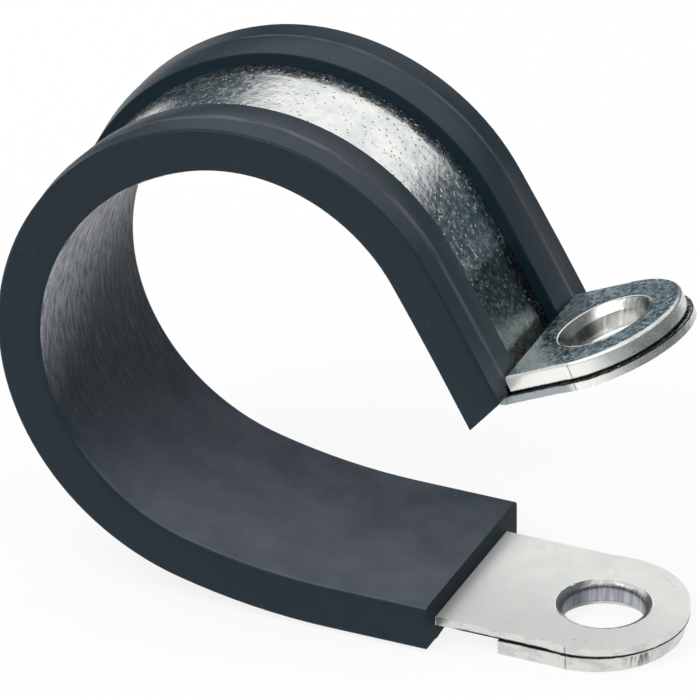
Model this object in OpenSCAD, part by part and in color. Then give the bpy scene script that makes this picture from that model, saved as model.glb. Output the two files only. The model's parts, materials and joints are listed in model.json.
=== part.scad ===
// Rubber-lined P clip: one steel strap bent into an open ring with two tabs, a rubber channel that
// wraps the ring part of the strap, and a reinforcing plate riveted to the outside of each tab.
//
// The origin is the centre of the lower fixing hole, on the strap's outer face, where the plate
// seats. +Z is that hole's axis, towards the upper tab. +Y is the axis of whatever the ring holds.
// The lower tab lies level with the ring towards -X. All sizes are in millimetres.

/* [Strap] */
// Width of the steel strap
strap_width = 15; // [13:0.5:18]
// Thickness of the steel strap
strap_thickness = 0.8; // [0.6:0.1:1]
// From the lower hole to the end of the liner
lower_neck = 11.9; // [10.5:0.1:15]
// Straight part of the liner, before the ring starts
run_length = 8.8; // [5:0.1:15]
// Inside bend radius where the strap turns out into the upper tab
tab_bend_radius = 0.8; // [0.7:0.1:1.2]
// How far the upper tab rises out of level
tab_rise = 25; // [20:1:32]
// How far the rounded end reaches past the hole
tab_reach = 7.1; // [6.8:0.1:8]
// How much cropping takes off each side of a tab
tab_trim = 0.05; // [0.02:0.01:0.2]
// How much further than the strap's side the rounded end bulges
tab_bulge = 0.12; // [0.05:0.01:0.2]

/* [Ring, measured inside the rubber] */
// Radius of the slow curve that lifts off the lower tab
ease_radius = 52; // [40:1:80]
// Angle of the slow curve
ease_angle = 14; // [10:1:18]
// Radius of the ring's back
back_radius = 17.3; // [16:0.1:19]
// Angle of the ring's back
back_angle = 87; // [80:1:95]
// Radius of the flatter crown
crown_radius = 19.7; // [17:0.1:22]
// Angle of the crown
crown_angle = 59; // [50:1:65]
// Radius of the shoulder that turns down to the upper tab
shoulder_radius = 15.3; // [14:0.1:17]
// Angle of the shoulder
shoulder_angle = 79; // [75:1:85]
// Radius of the limb from the shoulder to the upper bend, which is nearly straight
limb_radius = 338; // [320:1:480]
// Angle of the limb
limb_angle = 2; // [1.8:0.1:2.4]

/* [Rubber liner] */
// Width over the side walls
liner_width = 19.1; // [18:0.1:20.5]
// Rubber between the strap and the held tube
liner_wall = 1.9; // [1.4:0.1:2.4]
// Height of the lips above the strap, at their outer corner
lip_height = 1.3; // [1:0.05:1.5]
// Width of each lip, from the side of the liner
lip_width = 5.1; // [4:0.1:5.6]
// Height of the ridge along each lip
lip_ridge = 0.1; // [0.05:0.05:0.3]
// How much lower the lip's tip is than its outer corner
lip_fall = 0.2; // [0.05:0.05:0.4]
// Blunting of the lip's corner
lip_chamfer = 0.2; // [0.1:0.05:0.3]
// Rounding of the liner's inner edges
liner_edge_radius = 0.6; // [0.3:0.1:0.9]
// Slant of the cut at the liner's upper end
end_slant = 21; // [10:1:30]
// How far that end reaches past the strap's bend
end_reach = 0.7; // [0:0.1:0.8]

/* [Reinforcing plates] */
// How far the plates' rounded ends stand back from the strap's sides
plate_inset = 0.05; // [0.05:0.05:0.6]
// Thickness of the plates
plate_thickness = 1.6; // [1.4:0.1:2]
// From the hole to the plate's straight end
plate_heel = 6.4; // [6:0.1:7]
// How far the plate's rounded end reaches past the hole
plate_reach = 6.7; // [6.4:0.1:6.9]
// How much cropping takes off each straight side of a plate
plate_trim = 0.08; // [0.02:0.02:0.2]
// Rounding of the plate's outer edges
plate_edge_radius = 0.3; // [0.2:0.05:0.5]
// Blunting of the plate's edges on the strap's side
plate_chamfer = 0.2; // [0.1:0.05:0.3]

/* [Fixing holes] */
// Bore of the drawn collar
hole_diameter = 6.8; // [6.4:0.1:7]
// Wall of the collar
collar_wall = 0.4; // [0.35:0.05:0.5]
// Radius where the strap is drawn into the collar
draw_radius = 0.7; // [0.4:0.05:0.7]
// How far the collar's mouth is flared into the plate
flare = 0.35; // [0.2:0.05:0.45]
// Depth of the cone that the flaring tool leaves in the mouth
mouth_depth = 0.7; // [0.5:0.05:0.8]

/* [Fits] */
// Gap between the strap and the rubber
rubber_gap = 0.02; // [0.01:0.01:0.05]
// Gap between the collar and its plate
collar_gap = 0.03; // [0.02:0.01:0.06]
// Gap between the strap and a plate
plate_gap = 0.01; // [0.01:0.01:0.05]
// Gap between the lips and the upper plate's straight end
lip_clearance = 0.05; // [0.05:0.05:0.5]

/* [Hidden] */
$fn = 96;

// Neighbours in a sweep overlap by this much, in millimetres or degrees, so they are one solid.
touch = 0.000001;

// Levels across the strap and liner, measured outwards from the inside of the rubber.
strap_in = liner_wall + rubber_gap;
strap_out = strap_in + strap_thickness;
lip_in = strap_out + rubber_gap;
lip_corner = strap_out + lip_height;
lip_top = lip_corner + lip_ridge;
lip_tip = lip_corner - lip_fall;

hole_radius = hole_diameter / 2;
collar_radius = hole_radius + collar_wall;
collar_root = hole_radius + draw_radius + 0.2;
mouth_radius = collar_radius + flare - 0.15;
draw = min(draw_radius, 0.9 * strap_thickness);
plate_hole_radius = collar_radius + collar_gap;
plate_width = strap_width - 2 * plate_inset;
stack = strap_thickness + plate_gap + plate_thickness;

// The ring is walked from the lower tab: each bend is [radius, angle], and turns to the right.
bends = [
    [ease_radius, ease_angle],
    [back_radius, back_angle],
    [crown_radius, crown_angle],
    [shoulder_radius, shoulder_angle],
    [limb_radius, limb_angle]
];
limb = len(bends) - 1;

function heading(i) = i == 0 ? 180 : heading(i - 1) - bends[i - 1][1];
function right_of(h) = [sin(h), -cos(h)];
function knot(i) = i == 0
    ? [-lower_neck - run_length, strap_out]
    : centre(i - 1) - bends[i - 1][0] * right_of(heading(i));
function centre(i) = knot(i) + bends[i][0] * right_of(heading(i));

// At the limb's end the strap bends the other way, out into the upper tab, round this centre.
limb_end = knot(limb + 1);
limb_heading = heading(limb + 1);
tab_turn = tab_rise - limb_heading;
outer_bend_radius = tab_bend_radius + strap_thickness;
tab_bend_centre = limb_end - (strap_out + tab_bend_radius) * right_of(limb_heading);
tab_start = tab_bend_centre + outer_bend_radius * right_of(tab_rise);

// The upper plate starts where the lips end, so its hole follows from how far they reach along
// the tab at the level of the plate's two faces.
lean = 90 - tab_turn;
function lips_at(level) =
    (lip_top - strap_out - tab_bend_radius - (level - outer_bend_radius) * sin(lean)) / cos(lean);
upper_neck = max(lips_at(strap_thickness), lips_at(stack)) + lip_clearance + plate_heel;

// Moves its children to a point of the side view. The second, fine step keeps the bends' ends
// together where an export rounds its numbers.
module place(p) {
    coarse = [for (c = p) round(100 * c) / 100];
    fine = p - coarse;
    translate([coarse[0], 0, coarse[1]]) translate([fine[0], 0, fine[1]]) children();
}

// Sweeps a section, drawn as [from the centre, across], round a bend from the direction `from`.
module bend(middle, from, angle) {
    place(middle) rotate([90, 0, 0])
        rotate_extrude(angle = angle + 2 * touch, start = from - touch) children();
}

// Sweeps a section, drawn as [outwards, across], from the liner's lower end to the limb's end.
module along_ring() {
    translate([touch - lower_neck, 0, strap_out]) rotate([180, 90, 0])
        linear_extrude(run_length + 2 * touch) children();
    for (i = [0:limb])
        bend(centre(i), heading(i + 1) + 90, bends[i][1]) translate([bends[i][0], 0]) children();
}

// Frame of the upper tab: origin at the end of its bend on the strap's inner face, +X to its
// rounded end, +Z out through the plate.
module at_upper_tab() {
    place(tab_start) rotate([0, -tab_rise, 0]) children();
}

// The same frame for the lower tab, whose plate is underneath.
module at_lower_tab() {
    translate([-lower_neck, 0, strap_thickness]) mirror([0, 0, 1]) children();
}

// Quarter of a disc, for rounding the outer corner of a section.
module quarter_disc(r) {
    intersection() {
        circle(r = r);
        square(2 * r);
    }
}

module strap_section() {
    translate([strap_in, -strap_width / 2]) square([strap_thickness, strap_width]);
}

// Flat tab from its start, past the hole at the end of the neck, to the rounded end. Its sides
// are cropped, and its end bulges a little where the collar is drawn.
module tab(neck) {
    half = strap_width / 2 - tab_trim;
    end_radius = strap_width / 2 + tab_bulge;
    linear_extrude(strap_thickness) difference() {
        union() {
            translate([0, -half]) square([neck, 2 * half]);
            translate([neck + tab_reach - end_radius, 0]) circle(r = end_radius);
        }
        translate([neck, 0]) circle(r = collar_root - touch);
    }
    translate([neck, 0, 0]) collar();
}

// Collar drawn from the strap through the plate and flared into its countersink.
module collar() {
    rotate_extrude() {
        translate([hole_radius + draw, draw]) rotate(180) quarter_disc(draw);
        translate([hole_radius + draw, 0]) square([collar_root - hole_radius - draw, draw]);
        polygon([
            [hole_radius, draw],
            [collar_root, draw],
            [collar_root, strap_thickness],
            [collar_radius, strap_thickness],
            [collar_radius, stack - flare - 0.1],
            [collar_radius + flare, stack - 0.1],
            [collar_radius + flare, stack],
            [mouth_radius, stack],
            [hole_radius, stack - mouth_depth]
        ]);
    }
}

module strap() {
    color("silver") {
        at_lower_tab() tab(lower_neck);
        along_ring() strap_section();
        bend(tab_bend_centre, limb_heading - 90, tab_turn)
            translate([tab_bend_radius, -strap_width / 2]) square([strap_thickness, strap_width]);
        at_upper_tab() tab(upper_neck);
    }
}

// One half of the liner's channel: inner wall with a rounded edge, side wall and lip.
module liner_half() {
    half = liner_width / 2;
    slot = strap_width / 2 + rubber_gap;
    tip = half - lip_width;
    ridge = half - 0.45 * lip_width;
    r = liner_edge_radius;
    polygon(concat(
        [[0, 0]],
        [for (a = [0:22.5:90]) [r - r * cos(a), half - r + r * sin(a)]],
        [
            [lip_corner - lip_chamfer, half], [lip_corner, half - lip_chamfer],
            [lip_corner, ridge + 0.25], [lip_top, ridge],
            [lip_tip, tip + 0.1], [lip_tip - 0.1, tip], [lip_in, tip],
            [lip_in, slot], [liner_wall, slot], [liner_wall, 0]
        ]
    ));
}

module liner_section() {
    liner_half();
    mirror([0, 1]) liner_half();
}

// The channel without its lips: the walls round the strap's inner face and edges.
module liner_end_section() {
    difference() {
        liner_section();
        translate([liner_wall, -strap_width / 2 - rubber_gap]) square([10, strap_width + 2 * rubber_gap]);
    }
}

module liner() {
    // Past the lips the walls follow the limb's curve to the middle of the strap's bend, where
    // they are cut on the slant.
    setback = outer_bend_radius * tan(tab_turn / 2) + end_reach;
    end_angle = 1;
    color("#30363b") difference() {
        union() {
            along_ring() liner_section();
            bend(centre(limb), limb_heading + 90 - end_angle, end_angle)
                translate([limb_radius, 0]) liner_end_section();
        }
        place(limb_end) rotate([0, -limb_heading, 0]) translate([setback, 0, 0])
            rotate([0, -end_slant, 0]) translate([0, -liner_width, -5]) cube([20, 2 * liner_width, 30]);
    }
}

// Half section of a plate, with the edge of its outer face rounded, as the die leaves it.
module plate_profile(reach) {
    inset = reach - plate_edge_radius;
    level = plate_thickness - plate_edge_radius;
    translate([0, strap_thickness + plate_gap]) {
        polygon([
            [0, 0], [reach - plate_chamfer, 0], [reach, plate_chamfer],
            [reach, level], [inset, level], [inset, plate_thickness], [0, plate_thickness]
        ]);
        translate([inset, level]) quarter_disc(plate_edge_radius);
    }
}

// Plate on its tab, with the straight end towards the ring and a countersink for the collar.
module plate(neck) {
    half = plate_width / 2;
    end_centre = plate_reach - half;
    sink = flare + 0.1 + collar_gap;
    color("gainsboro") translate([neck, 0, 0]) difference() {
        union() {
            intersection() {
                translate([-plate_heel, 0, 0]) rotate([90, 0, 90]) linear_extrude(plate_heel + end_centre) {
                    plate_profile(half - plate_trim);
                    mirror([1, 0]) plate_profile(half - plate_trim);
                }
                translate([end_centre, plate_width, 0]) rotate([90, 0, 0]) linear_extrude(2 * plate_width)
                    mirror([1, 0]) plate_profile(plate_heel + end_centre);
            }
            translate([end_centre, 0, 0]) rotate_extrude(angle = 180, start = -90) plate_profile(half);
        }
        cylinder(r = plate_hole_radius, h = 2 * stack);
        translate([0, 0, stack - sink]) cylinder(r1 = plate_hole_radius, r2 = plate_hole_radius + sink, h = sink);
        translate([0, 0, stack - 0.001]) cylinder(r = plate_hole_radius + sink, h = 1);
    }
}

module upper_plate() {
    at_upper_tab() plate(upper_neck);
}

module lower_plate() {
    at_lower_tab() plate(lower_neck);
}

strap();
liner();
upper_plate();
lower_plate();
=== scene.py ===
# %% [markdown]
# # A rubber-lined P clip
#
# A P clip holds a pipe, hose or cable to a wall. A strap of zinc-plated steel is bent into a ring,
# and its two ends are flat tabs that one screw pulls together. A rubber channel is pushed over the
# ring's part of the strap, so that the held tube isn't scratched and doesn't rattle. Each tab
# carries a thicker plate, which a collar drawn from the strap rivets in place.
#
# The solids of these four pieces come from the CAD model, true to size. This lesson gives them what
# a solid can't have: edges that a tool has broken, a finish with scratches and wear, and light.

import json
import math

import bmesh
import bpy
from mathutils import Matrix, Vector


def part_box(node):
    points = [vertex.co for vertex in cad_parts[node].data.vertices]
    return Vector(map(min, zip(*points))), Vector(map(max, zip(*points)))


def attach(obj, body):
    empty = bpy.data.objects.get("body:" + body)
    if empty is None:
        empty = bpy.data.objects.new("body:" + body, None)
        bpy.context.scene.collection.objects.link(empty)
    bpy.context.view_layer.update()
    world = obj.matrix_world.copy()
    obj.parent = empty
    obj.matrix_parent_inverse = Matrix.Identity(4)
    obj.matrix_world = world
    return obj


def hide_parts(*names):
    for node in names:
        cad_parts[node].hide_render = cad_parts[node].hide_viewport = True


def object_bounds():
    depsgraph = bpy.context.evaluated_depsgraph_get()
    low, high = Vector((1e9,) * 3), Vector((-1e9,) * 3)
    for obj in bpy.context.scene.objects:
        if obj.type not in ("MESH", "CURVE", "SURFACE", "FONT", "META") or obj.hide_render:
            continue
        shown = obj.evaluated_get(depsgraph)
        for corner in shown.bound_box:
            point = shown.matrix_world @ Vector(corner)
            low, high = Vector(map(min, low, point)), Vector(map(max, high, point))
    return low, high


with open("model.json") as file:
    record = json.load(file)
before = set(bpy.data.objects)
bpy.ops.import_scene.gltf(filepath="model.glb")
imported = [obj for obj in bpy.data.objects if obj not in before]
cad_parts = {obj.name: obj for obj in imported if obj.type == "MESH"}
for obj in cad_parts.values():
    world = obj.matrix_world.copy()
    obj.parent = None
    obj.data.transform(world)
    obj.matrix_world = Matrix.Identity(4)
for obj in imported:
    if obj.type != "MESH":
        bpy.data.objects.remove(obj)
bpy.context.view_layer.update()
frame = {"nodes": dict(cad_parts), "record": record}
mounts = {m["name"]: m for m in frame["record"]["mounts"]}

# %% [markdown]
# ## The camera
#
# A small object that is photographed from far away with a long lens keeps its parallel edges
# parallel. So the camera stands 2.2 m away, and the lens is as long as it takes to fill the picture.
# It could be placed by hand in the viewport. Here its direction is worked out from a turn to the
# right of the front and a lift above the table, so that each can be changed by itself. A slight roll
# turns the picture about the line of sight.

# %% The camera
TURN, LIFT, ROLL = math.radians(23.5), math.radians(30.6), math.radians(-0.05)
DISTANCE, VIEW_WIDTH = 2.2, 0.05743
aim = Vector((-0.02296, 0, 0.01983))

back = Vector((math.sin(TURN) * math.cos(LIFT), -math.cos(TURN) * math.cos(LIFT), math.sin(LIFT)))
level_right = Vector((math.cos(TURN), math.sin(TURN), 0))
level_up = back.cross(level_right)
right = math.cos(ROLL) * level_right + math.sin(ROLL) * level_up
turned = Matrix((right, back.cross(right), back)).transposed().to_4x4()

camera = bpy.data.objects.new("camera", bpy.data.cameras.new("camera"))
bpy.context.scene.collection.objects.link(camera)
camera.data.sensor_width = 36
camera.data.lens = camera.data.sensor_width * DISTANCE / VIEW_WIDTH
camera.data.clip_start, camera.data.clip_end = 0.1, 20
camera.matrix_world = Matrix.Translation(aim + DISTANCE * back) @ turned
bpy.context.scene.camera = camera
print("lens in mm:", round(camera.data.lens))

# %% [markdown]
# ## Shader maths
#
# A finish is a small program: it takes a place on the surface and gives a colour, a gloss and a
# height there. Blender draws such a program as boxes and wires, but sums are easier to read as
# sums. `Socket` wraps one wire, and its operators add the Math boxes. Two more words are enough for
# most masks: `step` rises from 0 to 1 between two values, and `near` is 1 only round one value.

# %% Shader maths
class Socket:
    """One output of a node. Sums on it add Math nodes."""

    def __init__(self, finish, output):
        self.finish, self.output = finish, output

    def math(self, operation, *others):
        return self.finish.node("Math", {"operation": operation}, dict(enumerate((self, *others))))

    def __add__(self, other):
        return self.math("ADD", other)

    def __sub__(self, other):
        return self.math("SUBTRACT", other)

    def __mul__(self, other):
        return self.math("MULTIPLY", other)

    def __rsub__(self, other):
        return self * -1 + other

    __radd__ = __add__
    __rmul__ = __mul__

    def step(self, low, high):
        """0 below low, 1 above high, smooth between them."""
        return self.finish.node("MapRange", {"interpolation_type": "SMOOTHSTEP"},
                                {"Value": self, "From Min": low, "From Max": high})

    def near(self, middle, reach):
        """1 where the value is close to middle, 0 where it is further off than reach."""
        return 1 - (self - middle).math("ABSOLUTE").step(0.5 * reach, reach)

# %% [markdown]
# ## A finish
#
# `Finish` is one material, or the world. Its `node` method adds any box: settings first, then what
# goes into the sockets. The methods after it measure the surface. They could use UV coordinates,
# but those have to be unwrapped and stretch at the bends. The CAD model gives every place in true
# size, so patterns are laid out in millimetres of the object itself, and one pattern runs on from
# face to face. `surface` closes the recipe with Blender's Principled shader.

# %% A finish
class Finish:
    """One material, or a world. Every node in it comes from node()."""

    def __init__(self, name, library="materials"):
        self.block = getattr(bpy.data, library).new(name)
        self.block.use_nodes = True
        self.tree = self.block.node_tree
        self.tree.nodes.clear()

    def node(self, kind, settings=None, sockets=None, output=0):
        node = self.tree.nodes.new("ShaderNode" + kind)
        for name, value in (settings or {}).items():
            setattr(node, name, value)
        for name, value in (sockets or {}).items():
            if isinstance(value, Socket):
                self.tree.links.new(value.output, node.inputs[name])
            else:
                node.inputs[name].default_value = value
        return Socket(self, node.outputs[output]) if node.outputs else None

    def vector(self, operation, a, b=(0, 0, 0), output=0):
        return self.node("VectorMath", {"operation": operation}, {0: a, 1: b}, output)

    def place(self, scale=1):
        """The place on the surface in millimetres, times one scale or one for each axis."""
        scales = scale if isinstance(scale, tuple) else (scale, scale, scale)
        place = self.node("TexCoord", output="Object")
        return self.vector("MULTIPLY", place, [1000 * s for s in scales])

    def along(self, direction):
        """How far the place is along a direction, in millimetres."""
        return self.vector("DOT_PRODUCT", self.place(), direction, "Value")

    def distance(self, spot):
        """How far the place is from a spot that is given in metres, in millimetres."""
        return self.vector("DISTANCE", self.place(), 1000 * spot, "Value")

    def radius(self, spot, axis):
        """How far the place is from an axis through a spot, in millimetres."""
        offset = self.vector("SUBTRACT", self.place(), 1000 * spot)
        return self.vector("LENGTH", self.vector("CROSS_PRODUCT", offset, axis), output="Value")

    def noise(self, per_mm, detail=3, roughness=0.55):
        """Soft random variation from 0 to 1, with that many repeats per millimetre."""
        return self.node("TexNoise", {}, {"Vector": self.place(per_mm), "Scale": 1.0,
                                          "Detail": detail, "Roughness": roughness})

    def spots(self, per_mm):
        """0 in the middle of each of many scattered spots, rising away from it."""
        return self.node("TexVoronoi", {}, {"Vector": self.place(per_mm), "Scale": 1.0})

    def mix(self, factor, a, b):
        """Colour a where factor is 0, colour b where it is 1."""
        a, b = (c if isinstance(c, Socket) else (*c, 1) for c in (a, b))
        return self.node("Mix", {"data_type": "RGBA"}, {0: factor, 6: a, 7: b}, 2)

    def surface(self, height, depth, **sockets):
        """Closes the finish with a Principled surface, and a bump of that depth in millimetres."""
        normal = self.node("Bump", {}, {"Height": height, "Distance": depth / 1000})
        values = {name.replace("_", " "): value for name, value in sockets.items()}
        shader = self.node("BsdfPrincipled", {}, {"Normal": normal, **values})
        self.node("OutputMaterial", {}, {"Surface": shader})
        print("finish", self.block.name, "has", len(self.tree.nodes), "nodes")
        return self.block

# %% [markdown]
# ## The two tabs
#
# Several finishes change near the screw holes. Their places could be written into each recipe, but
# then a change of the clip would leave the wear behind. So the tabs are measured first. Each hole
# gives its place and its axis, which points out of the tab on the plate's side. The seam is where
# the plate lies on the strap: it is the plate's lowest point along that axis.

# %% The two tabs
TAB_END_MM = (12, 13)


class Tab:
    """One end of the strap: its hole, and the seam between strap and plate."""

    def __init__(self, mount, plate):
        self.place = Vector(mounts[mount]["pos_m"])
        self.axis = Vector(mounts[mount]["axis"])
        self.outwards = Vector((0, 1, 0)).cross(self.axis)
        self.outwards *= math.copysign(1, self.outwards.x)
        self.seam_mm = 1000 * min(v.co.dot(self.axis) for v in frame["nodes"][plate].data.vertices)
        print(mount, "has its seam at", round(self.seam_mm, 2), "mm")

    def across(self, point):
        """From the hole's axis to a point, square to the axis."""
        offset = point - self.place
        return offset - self.axis * offset.dot(self.axis)

    def here(self, finish):
        """1 on this tab, 0 on the rest of the clip."""
        return 1 - finish.distance(self.place).step(*TAB_END_MM)

    def past_hole(self, finish):
        """How far the place is beyond the hole's axis, towards the tab's end, in millimetres."""
        return finish.along(self.outwards) - 1000 * self.place.dot(self.outwards)


TABS = (Tab("upper_hole", "upper_plate"), Tab("lower_hole", "lower_plate"))
UPPER, LOWER = TABS

# %% [markdown]
# ## Zinc plating
#
# The strap and plates are rolled steel, plated with bright zinc. Rolling leaves fine lines along
# the strap, and handling leaves a few hair scratches. The plating adds a cloudy bloom, a slow
# ripple, a fine frost that blurs the mirror in patches, and pits where the parts knocked together
# in the barrel. A pit could be painted as a dark dot, but on polished metal it shows because its
# walls mirror another part of the room. So it is a bump on smooth metal.
#
# The strap is duller where it was bent hard beside the upper tab. The lower tab's worn plating is
# hardly a mirror any more, and the tab is painted darker towards its front side, as painted shade.
# One recipe makes all three, and they differ in their pits, in how sharp their mirror is, in their
# wear and in that painted shade.

# %% Zinc plating
# SHADED_FRONT is the colour of the painted shade towards the lower tab's front side.
DULLED, SPECK, SHADED_FRONT = (0.15, 0.17, 0.16), (0.25, 0.27, 0.28), (0.60, 0.61, 0.59)
BEND_MM, BEND_REACH = -7.5, 4.0


def zinc(name, clean, dull, pits, ripple, roughness, frost=0.0, metallic=1.0, bend=None, front_shade=0.0):
    finish = Finish(name)
    bloom = finish.noise(0.4, detail=4, roughness=0.6).step(0.35, 0.65)
    waves = finish.noise(1.4, detail=1)
    lines = finish.noise((0.4, 6, 0.4), detail=2)
    knocks = 1 - (finish.spots(2.1) + waves * 0.3).step(0.16, 0.40)
    frosted = finish.noise(1.8, detail=5, roughness=0.75).step(0.42, 0.70)
    hair = finish.noise((0.22, 0.3, 0.3), detail=1).near(0.5, 0.006)
    worn = finish.noise(0.5, detail=2).step(0.48, 0.56)
    tone = finish.mix(hair * worn * 0.16, finish.mix(bloom, clean, dull), SPECK)
    if bend:
        near_bend = bend.past_hole(finish).near(BEND_MM, BEND_REACH) * bend.here(finish)
        tone = finish.mix(near_bend * (0.8 + 0.15 * bloom), tone, DULLED)
    if front_shade:
        # painted shade: the tab turns darker towards its front side; near its front edge it also gets
        # real dark specks
        front = finish.along((0, -1, 0))
        tone = finish.mix(front.step(-7, 6) * front_shade, tone, SHADED_FRONT)
        tone = finish.mix(front.step(4, 7) * knocks * 0.8, tone, SPECK)
    return finish.surface(
        Base_Color=tone,
        Metallic=metallic,
        Roughness=roughness + bloom * 0.06 + lines * 0.06 + frosted * frost,
        height=waves * ripple + lines * 0.1 + knocks * pits,
        depth=0.02,
    )


zinc_ring = zinc("zinc_ring", (0.93, 0.93, 0.90), (0.78, 0.82, 0.82),
                 pits=2.2, ripple=1.6, roughness=0.13, frost=0.2, bend=UPPER)
zinc_tab = zinc("zinc_tab", (0.92, 0.92, 0.88), (0.85, 0.86, 0.83),
                pits=0.1, ripple=0.3, roughness=0.42, metallic=0.3, front_shade=0.7)
zinc_plate = zinc("zinc_plate", (0.84, 0.92, 0.94), (0.54, 0.69, 0.76),
                  pits=2.0, ripple=2.4, roughness=0.16, frost=0.26)

# %% [markdown]
# ## Sheared edges
#
# A press cuts the blanks out of sheet. The blade leaves a smooth, bright band, and where the metal
# tore instead of being cut, a dark rough patch is left. The die is made in sections, and where two
# meet, at the tab's shoulder, it leaves a thin upright mark. Dirt fills the seam between strap and
# plate and shade falls into it, so a dark line of dirt and painted shade runs along it. These marks
# could be thin pieces of their own, but they have no thickness, so they are colour, and all are
# placed from the tab's own measures.

# %% Grime and painted seam shade on a sheared edge
SEAM_MM, MARK_MM, SHOULDER_MM = 0.27, 0.09, -0.3
TORN_AT, TORN_MM = 0.0074, (0.5, 2.2)


def grime_and_seam_shade(finish, tab, height, scratches):
    """How dark one tab's side is: dirt and painted shade in the seam, the die's mark, the tear."""
    # dirt and painted shade along the seam between strap and plate
    seam = height.near(tab.seam_mm + 0.1, SEAM_MM)
    mark = tab.past_hole(finish).near(SHOULDER_MM, MARK_MM) * 0.5
    torn = tab.place + TORN_AT * (0.75 * tab.outwards + Vector((0, -0.66, 0)))
    tear = (1 - finish.distance(torn).step(*TORN_MM)) * scratches.step(0.45, 0.6) * 0.8
    tear = tear * height.step(tab.seam_mm + 0.3, tab.seam_mm + 0.5)
    return tab.here(finish) * seam.math("MAXIMUM", mark).math("MAXIMUM", tear)

# %% [markdown]
# The edge itself is bright metal with dull patches. On the upper tab the straight side is freshly
# sheared and almost white, and the strap below it turns blue-grey where it was bent.

# %% Sheared edges
FRESH_CUT, BRIGHT_CUT, DULL_CUT = (0.99, 0.99, 0.93), (0.74, 0.75, 0.71), (0.60, 0.62, 0.60)
BLUE_GREY, BLACK = (0.22, 0.27, 0.31), (0.006, 0.008, 0.010)


def sheared(name):
    finish = Finish(name)
    scratches = finish.noise((3.5, 3.5, 0.4), detail=3, roughness=0.6)
    patches = finish.noise((0.6, 0.6, 0.9), detail=2)
    ragged = finish.noise(1.5, detail=2) * 0.12
    heights = [finish.along(tab.axis) + ragged for tab in TABS]
    dirt_and_seam_shade = sum(grime_and_seam_shade(finish, tab, height, scratches) for tab, height in zip(TABS, heights))
    shoulder = UPPER.past_hole(finish)
    below = 1 - heights[0].step(UPPER.seam_mm, UPPER.seam_mm + 0.1)
    bent = UPPER.here(finish) * below * (1 - shoulder.step(-1.2, 0))
    fresh = (1 - finish.distance(UPPER.place).step(10, 14)) * (1 - shoulder.step(0, 6))
    tone = finish.mix(patches.step(0.45, 0.6), BRIGHT_CUT, DULL_CUT)
    tone = finish.mix(bent * 0.8, finish.mix(fresh, tone, FRESH_CUT), BLUE_GREY)
    return finish.surface(
        Base_Color=finish.mix(dirt_and_seam_shade.math("MINIMUM", 1), tone, BLACK),
        Metallic=0.75 - fresh * 0.35,
        Roughness=0.2 + dirt_and_seam_shade * 0.4 + scratches * 0.12,
        height=scratches,
        depth=0.012,
    )


zinc_edge = sheared("zinc_edge")

# %% [markdown]
# ## Drawn walls
#
# The collars are drawn: a punch pushes the sheet round the hole into a short tube. Its wall is
# dragged along the punch, which leaves dull streaks from one end to the other. Real grooves would
# take thousands of faces, so the streaks are a noise that is stretched along Z, in both colour and
# bump. The wall is smeared dark at the two ends of the hole, which lie along the strap. The inner
# edge of the lower rim is painted dark too, a painted reflection of the dark horizon in its rounded
# edge.

# %% Drawn walls
SMEAR_AND_REFLECTION, SMEAR_MM, RIM_MM = (0.03, 0.04, 0.045), (2.5, 3.6), (3.55, 3.85)


def drawn(name, tab, dark, bright, ends, metallic=1.0, rim=0.0):
    finish = Finish(name)
    streaks = finish.noise((2.6, 2.6, 0.25), detail=3, roughness=0.6)
    smear_and_rim_reflection = (tab.past_hole(finish).math("ABSOLUTE") + streaks).step(*SMEAR_MM) * ends
    if rim:
        # painted reflection: the inner edge of the lower rim is darkened, standing in for the dark
        # horizon it mirrors
        shade = (finish.radius(tab.place, tab.axis) + streaks * 0.3).step(*RIM_MM)
        smear_and_rim_reflection = smear_and_rim_reflection.math("MAXIMUM", rim - rim * shade)
    return finish.surface(
        Base_Color=finish.mix(smear_and_rim_reflection, finish.mix(streaks.step(0.4, 0.65), dark, bright), SMEAR_AND_REFLECTION),
        Metallic=metallic,
        Roughness=0.26 + streaks * 0.2,
        height=streaks,
        depth=0.05,
    )


upper_wall = drawn("upper_wall", UPPER, (0.6, 0.6, 0.57), (0.94, 0.93, 0.88), ends=0.85)
lower_wall = drawn("lower_wall", LOWER, (0.31, 0.32, 0.37), (0.58, 0.59, 0.64), ends=0.7)
lower_rim = drawn("lower_rim", LOWER, (0.74, 0.74, 0.71), (0.88, 0.88, 0.84), ends=0.9,
                  metallic=0.3, rim=0.9)

# %% [markdown]
# ## Rubber
#
# The channel is extruded, cut to length and pushed on. Its sides and cut ends are smooth and dark,
# with a little lint. All of it is painted paler towards its front side, as painted light, and the
# lips carry a painted highlight along their ridge. Its inside is paler where it lies flat, from dust
# and painted light from above. Where it stands upright it is squeezed as the ring bends, so fine
# wrinkles run along it, with painted sheen along them, and high up on the round side a whitish
# painted sheen stands in for light glancing off the rubber. Wrinkles this fine could be sculpted,
# but they are shallower than a tenth of a millimetre, so a bump is enough. One recipe makes all
# four, with more or less of each.

# %% Rubber
# DUST_AND_SHEEN colours dust together with painted light and sheen; PAINTED_SHEEN is a painted whitish
# sheen.
FRESH, DUST_AND_SHEEN, PAINTED_SHEEN = (0.005, 0.017, 0.026), (0.092, 0.106, 0.126), (0.62, 0.63, 0.67)
UPRIGHT_MM, WHITE_FROM_MM, ROUND_SIDE_MM = (5, 15), (16, 29), (-38, -26)
RIDGE_MM = 0.76 * 1000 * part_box("liner")[1].y


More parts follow.
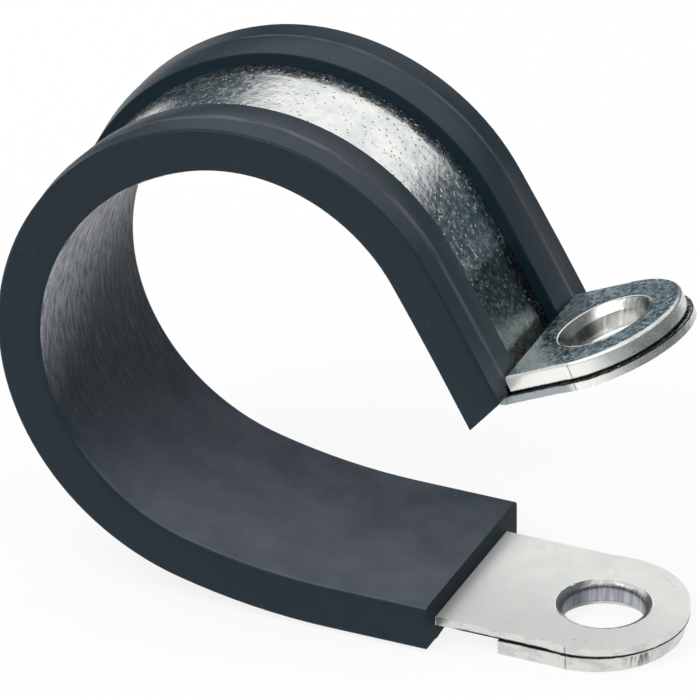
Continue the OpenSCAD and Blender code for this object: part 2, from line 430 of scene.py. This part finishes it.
def rubber(name, wrinkle, dust_and_light, roughness, gloss, ridge_highlight=0.0, squeeze_and_sheen=0.0):
    finish = Finish(name)
    grain = finish.noise(9, detail=2)
    cloud = finish.noise(0.3, detail=3).step(0.3, 0.7)
    wrinkles = finish.noise((0.65, 2.2, 0.65), detail=4, roughness=0.7)
    # painted light: the rubber is paler towards its front side
    lit_front = finish.along((0, -1, 0)).step(-9, 9)
    lint = (1 - finish.spots(1.2).step(0.05, 0.12)) * finish.noise(0.35).step(0.5, 0.58)
    pale = (cloud * 0.4 + lit_front * 0.6 + 0.4) * dust_and_light + grain * 0.04
    squeezed = wrinkle
    if squeeze_and_sheen:
        upright = finish.along((0, 0, 1)).step(*UPRIGHT_MM)
        squeezed = (upright * 0.9 + 0.1) * wrinkle
        # dust and painted light from above make flat parts paler; the upright wrinkles get painted
        # sheen
        pale = (1.12 - upright) * pale + wrinkles.step(0.48, 0.70) * upright * 0.35
    # painted highlight: a pale streaky line along the lip's ridge
    if ridge_highlight:
        sideways = finish.along((0, 1, 0)).math("ABSOLUTE")
        streaky = finish.noise((0.25, 2, 0.25), detail=3).step(0.3, 0.6)
        pale = pale + sideways.near(RIDGE_MM, 0.3) * streaky * ridge_highlight
    tone = finish.mix(pale + lint * (dust_and_light + 0.05) * 8, FRESH, DUST_AND_SHEEN)
    if squeeze_and_sheen:
        # painted sheen: a whitish patch high up on the round side, streaked by the wrinkles
        white = finish.along((0, -0.3, 1)).step(*WHITE_FROM_MM)
        white = white * (1 - finish.along((1, 0, 0)).step(*ROUND_SIDE_MM)) * squeeze_and_sheen
        tone = finish.mix(white * (wrinkles.step(0.36, 0.60) * 0.7 + 0.3), tone, PAINTED_SHEEN)
    return finish.surface(
        Base_Color=tone,
        Roughness=roughness + grain * 0.1 - wrinkles * 0.1,
        Specular_IOR_Level=gloss,
        height=wrinkles * squeezed + grain * 0.05,
        depth=0.12,
    )


rubber_side = rubber("rubber_side", wrinkle=0.03, dust_and_light=0.02, roughness=0.55, gloss=0.25)
rubber_cut = rubber("rubber_cut", wrinkle=0.05, dust_and_light=0.0, roughness=0.6, gloss=0.1)
rubber_inside = rubber("rubber_inside", wrinkle=3.4, dust_and_light=0.56, roughness=0.5, gloss=0.22, squeeze_and_sheen=0.9)
rubber_lip = rubber("rubber_lip", wrinkle=0.1, dust_and_light=0.10, roughness=0.44, gloss=0.5, ridge_highlight=0.6)

# %% [markdown]
# ## From solid to finished piece
#
# The CAD solids have perfectly sharp edges, which nothing real has: no light catches them. The
# pieces could be modelled again with round edges, but then their sizes would have to be kept in two
# places. Instead each piece is a copy of its solid, with the triangles of a flat face joined again
# so that a Bevel modifier can run along the true edges. The copy then stands for the solid.

# %% From solid to finished piece
FLAT, SHARP = math.radians(0.5), math.radians(32)


def finished(node, name, radius_mm, choose):
    """A copy of a CAD solid with its edges rounded. choose() says which finish a face gets."""
    shape = bmesh.new()
    shape.from_mesh(frame["nodes"][node].data)
    bmesh.ops.remove_doubles(shape, verts=shape.verts, dist=1e-7)
    bmesh.ops.dissolve_limit(shape, angle_limit=FLAT, verts=shape.verts, edges=shape.edges)
    finishes = []
    for face in shape.faces:
        finish = choose(face.calc_center_median(), face.normal)
        if finish not in finishes:
            finishes.append(finish)
        face.smooth = True
        face.material_index = finishes.index(finish)
    mesh = bpy.data.meshes.new(name)
    shape.to_mesh(mesh)
    shape.free()
    for finish in finishes:
        mesh.materials.append(finish)
    mesh.set_sharp_from_angle(angle=SHARP)
    piece = bpy.data.objects.new(name, mesh)
    bpy.context.scene.collection.objects.link(piece)
    bevel = piece.modifiers.new("broken edges", "BEVEL")
    bevel.width = radius_mm / 1000
    bevel.segments = 3
    bevel.angle_limit = SHARP
    bevel.harden_normals = True
    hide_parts(node)
    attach(piece, "root")
    print(name, "has", len(mesh.polygons), "faces and", len(finishes), "finishes")

# %% [markdown]
# ## The metal pieces
#
# The strap is one piece of metal with five finishes, and its faces could be picked by hand in the
# viewport. A rule lasts longer, because it also holds when the clip changes. A face near a hole is
# the collar's wall or rim, or the rounded end of the tab. Which one it is follows from where it
# looks: towards the axis, away from it, or along it. Any other face is a sheared side if it looks
# sideways, the lower tab if it is level and near the lower hole, and otherwise the ring.

# %% The metal pieces
WALL_REACH, END_REACH, TAB_LENGTH, SHEET = 0.0047, 0.009, 0.015, 0.004


def strap_finish(centre, normal):
    for tab, wall, rim in ((UPPER, upper_wall, upper_wall), (LOWER, lower_wall, lower_rim)):
        across = tab.across(centre)
        upright = abs(normal.dot(tab.axis))
        if abs((centre - tab.place).dot(tab.axis)) >= SHEET:
            continue
        if across.length < WALL_REACH and upright < 0.98:
            return wall if upright < 0.3 else rim
        if 0.005 < across.length < END_REACH and normal.dot(across.normalized()) > 0.7:
            return zinc_edge
    if abs(normal.y) > 0.9:
        return zinc_edge
    level = abs(normal.z) > 0.999 and centre.x > LOWER.place.x - TAB_LENGTH
    return zinc_tab if level else zinc_ring


def plate_finish(tab):
    return lambda centre, normal: zinc_plate if abs(normal.dot(tab.axis)) > 0.9 else zinc_edge


finished("strap", "zinc_strap_piece", 0.05, strap_finish)
finished("upper_plate", "upper_plate_piece", 0.04, plate_finish(UPPER))
finished("lower_plate", "lower_plate_piece", 0.04, plate_finish(LOWER))

# %% [markdown]
# ## The liner
#
# The channel is a single moulding, so it stays a single piece, and again a rule gives its finishes.
# The inside of the ring is whatever looks towards the middle of the held tube. The lips' tops lie to
# one side and look away from it. What is left is the sides, the groove and the two cut ends.

# %% The liner
SIDE, GROOVE = 0.007, 0.002
tube_middle = Vector(mounts["held_tube"]["pos_m"])


def liner_finish(centre, normal):
    if abs(normal.y) > 0.6:
        return rubber_side if abs(centre.y) > SIDE else rubber_cut
    if (tube_middle - centre).dot(normal) > 0:
        return rubber_inside
    return rubber_lip if abs(centre.y) > GROOVE else rubber_cut


finished("liner", "rubber_liner_piece", 0.1, liner_finish)

# %% [markdown]
# ## The table
#
# The clip stands on a small white table. The floor of a studio is usually endless, but here the
# metal that looks along the table has to turn dark, so the table ends near the clip. Its paper glows
# a little to the camera and to mirrors, which keeps it plain white, and it still takes the clip's
# shadow.

# %% The table
TABLE, GLOW = 0.5, 0.85
low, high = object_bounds()
bpy.ops.mesh.primitive_plane_add(size=TABLE, location=(0, 0, low.z - 0.00002))
table = bpy.context.object
table.name = "table"

paper = Finish("paper")
seen = paper.node("LightPath", output="Is Camera Ray") + paper.node("LightPath", output="Is Glossy Ray")
matt = paper.node("BsdfDiffuse", {}, {"Color": (0.9, 0.9, 0.9, 1)})
glow = paper.node("Emission", {}, {"Color": (1, 1, 1, 1), "Strength": 1.0})
both = paper.node("MixShader", {}, {0: seen * GLOW, 1: matt, 2: glow})
paper.node("OutputMaterial", {}, {"Surface": both})
table.data.materials.append(paper.block)
print("table top in mm:", round(1000 * table.location.z, 2))

# %% [markdown]
# ## Room and dark cloth
#
# Polished metal is mostly a picture of the room. The room here is plain white, and white alone
# would make the metal flat. Photographers hang dark cloth beside such an object, below the lamps.
# A painted world could give the same picture, but a cloth can be moved. It is a large ball round the
# table that is clear above, where the light comes in, and blue-grey towards the horizon. It is clear
# to the camera as well.

# %% Room and dark cloth
CLOTH, CLOTH_TOP = 1.6, (340, 470)
room = Finish("room", "worlds")
bpy.context.scene.world = room.block
white = room.node("Background", {}, {"Color": (1, 1, 1, 1), "Strength": 1.0})
room.node("OutputWorld", {}, {"Surface": white})

bpy.ops.mesh.primitive_uv_sphere_add(segments=64, ring_count=32, radius=CLOTH)
cloth = bpy.context.object
cloth.name = "dark_cloth"

felt = Finish("felt")
above = felt.along((0, 0, 1)).step(*(CLOTH * top for top in CLOTH_TOP))
clear = above.math("MAXIMUM", felt.node("LightPath", output="Is Camera Ray"))
blue_grey = felt.node("Emission", {}, {"Color": (0.03, 0.055, 0.07, 1), "Strength": 1.0})
both = felt.node("MixShader", {}, {0: clear, 1: blue_grey, 2: felt.node("BsdfTransparent")})
felt.node("OutputMaterial", {}, {"Surface": both})
cloth.data.materials.append(felt.block)

# %% [markdown]
# ## Lamps
#
# The white room lights the clip evenly from above. Two soft lamps add direction: a large key lamp
# over the left shoulder, and a weak fill lamp on the right, so that no side goes black.

# %% Lamps
def softbox(name, place, size, watts):
    """A square lamp that faces the object."""
    lamp = bpy.data.lights.new(name, "AREA")
    lamp.size = size
    lamp.energy = watts
    holder = bpy.data.objects.new(name, lamp)
    bpy.context.scene.collection.objects.link(holder)
    holder.location = place
    holder.rotation_euler = (Vector(place) - aim).to_track_quat("Z", "Y").to_euler()
    print(name, "lamp stands", round((Vector(place) - aim).length, 2), "m away")


softbox("key", (-0.35, -0.45, 0.75), 0.4, 3.0)
softbox("fill", (0.6, -0.4, 0.5), 0.5, 0.3)
bpy.context.scene.view_settings.view_transform = "Standard"
